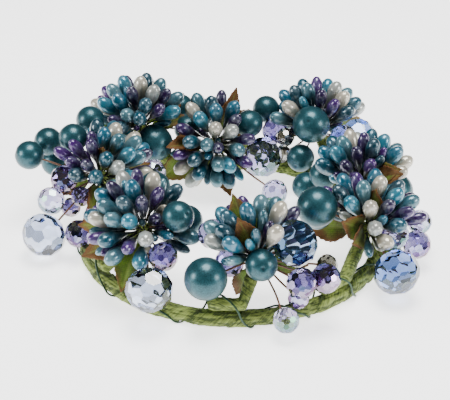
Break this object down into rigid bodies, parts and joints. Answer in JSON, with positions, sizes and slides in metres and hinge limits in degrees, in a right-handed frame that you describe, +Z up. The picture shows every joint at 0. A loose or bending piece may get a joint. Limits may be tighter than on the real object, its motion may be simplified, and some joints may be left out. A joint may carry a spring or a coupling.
{
  "type": "candle ring",
  "caption": "Paper-wrapped wire ring that lies round a pillar candle, with wired sprays of pearls, cut crystals, cloth leaves and stamens bound along it.",
  "frame": {"origin": "middle of the ring, on the flat underside of its paper wrap, which is the surface it rests on", "axes": "+Z up along the ring's axis; +X to the right and +Y away from the viewer as in the picture"},
  "size_m": [0.1697, 0.152, 0.0485],
  "materials": {
    "hoop_wire": "plain drawn wire",
    "paper_wrap": "crinkled matte floral paper",
    "binding_wire": "dark green lacquered wire",
    "pick_wires": "brown paper-covered wire",
    "stem": "crinkled floral tape",
    "pearls": "pearlised coating",
    "crystals": "clear, lilac and blue facet-cut acrylic",
    "leaves": "stiffened printed cloth",
    "blue_stamens": "pearlised coating, teal to pale blue",
    "violet_stamens": "pearlised coating",
    "ivory_stamens": "pearlised coating"
  },
  "bodies": {
    "root": {"hoop_wire": "hoop_wire", "paper_wrap": "paper_wrap", "binding_wire": "binding_wire", "pick_wires": "pick_wires", "spray_1_stem": "stem", "spray_1_pearls": "pearls", "spray_1_crystals": "crystals", "spray_1_leaves": "leaves", "spray_1_blue_stamens": "blue_stamens", "spray_1_violet_stamens": "violet_stamens", "spray_1_ivory_stamens": "ivory_stamens", "spray_2_stem": "stem", "spray_2_pearls": "pearls", "spray_2_crystals": "crystals", "spray_2_leaves": "leaves", "spray_2_blue_stamens": "blue_stamens", "spray_2_violet_stamens": "violet_stamens", "spray_2_ivory_stamens": "ivory_stamens", "spray_3_stem": "stem", "spray_3_pearls": "pearls", "spray_3_crystals": "crystals", "spray_3_leaves": "leaves", "spray_3_blue_stamens": "blue_stamens", "spray_3_violet_stamens": "violet_stamens", "spray_3_ivory_stamens": "ivory_stamens", "spray_4_stem": "stem", "spray_4_pearls": "pearls", "spray_4_crystals": "crystals", "spray_4_leaves": "leaves", "spray_4_blue_stamens": "blue_stamens", "spray_4_violet_stamens": "violet_stamens", "spray_4_ivory_stamens": "ivory_stamens", "spray_5_stem": "stem", "spray_5_pearls": "pearls", "spray_5_crystals": "crystals", "spray_5_leaves": "leaves", "spray_5_blue_stamens": "blue_stamens", "spray_5_violet_stamens": "violet_stamens", "spray_5_ivory_stamens": "ivory_stamens", "spray_6_stem": "stem", "spray_6_pearls": "pearls", "spray_6_crystals": "crystals", "spray_6_leaves": "leaves", "spray_6_blue_stamens": "blue_stamens", "spray_6_violet_stamens": "violet_stamens", "spray_6_ivory_stamens": "ivory_stamens", "spray_7_stem": "stem", "spray_7_pearls": "pearls", "spray_7_crystals": "crystals", "spray_7_leaves": "leaves", "spray_7_blue_stamens": "blue_stamens", "spray_7_violet_stamens": "violet_stamens", "spray_7_ivory_stamens": "ivory_stamens", "spray_8_stem": "stem", "spray_8_pearls": "pearls", "spray_8_crystals": "crystals", "spray_8_leaves": "leaves", "spray_8_blue_stamens": "blue_stamens", "spray_8_violet_stamens": "violet_stamens", "spray_8_ivory_stamens": "ivory_stamens"}
  },
  "joints": []
}
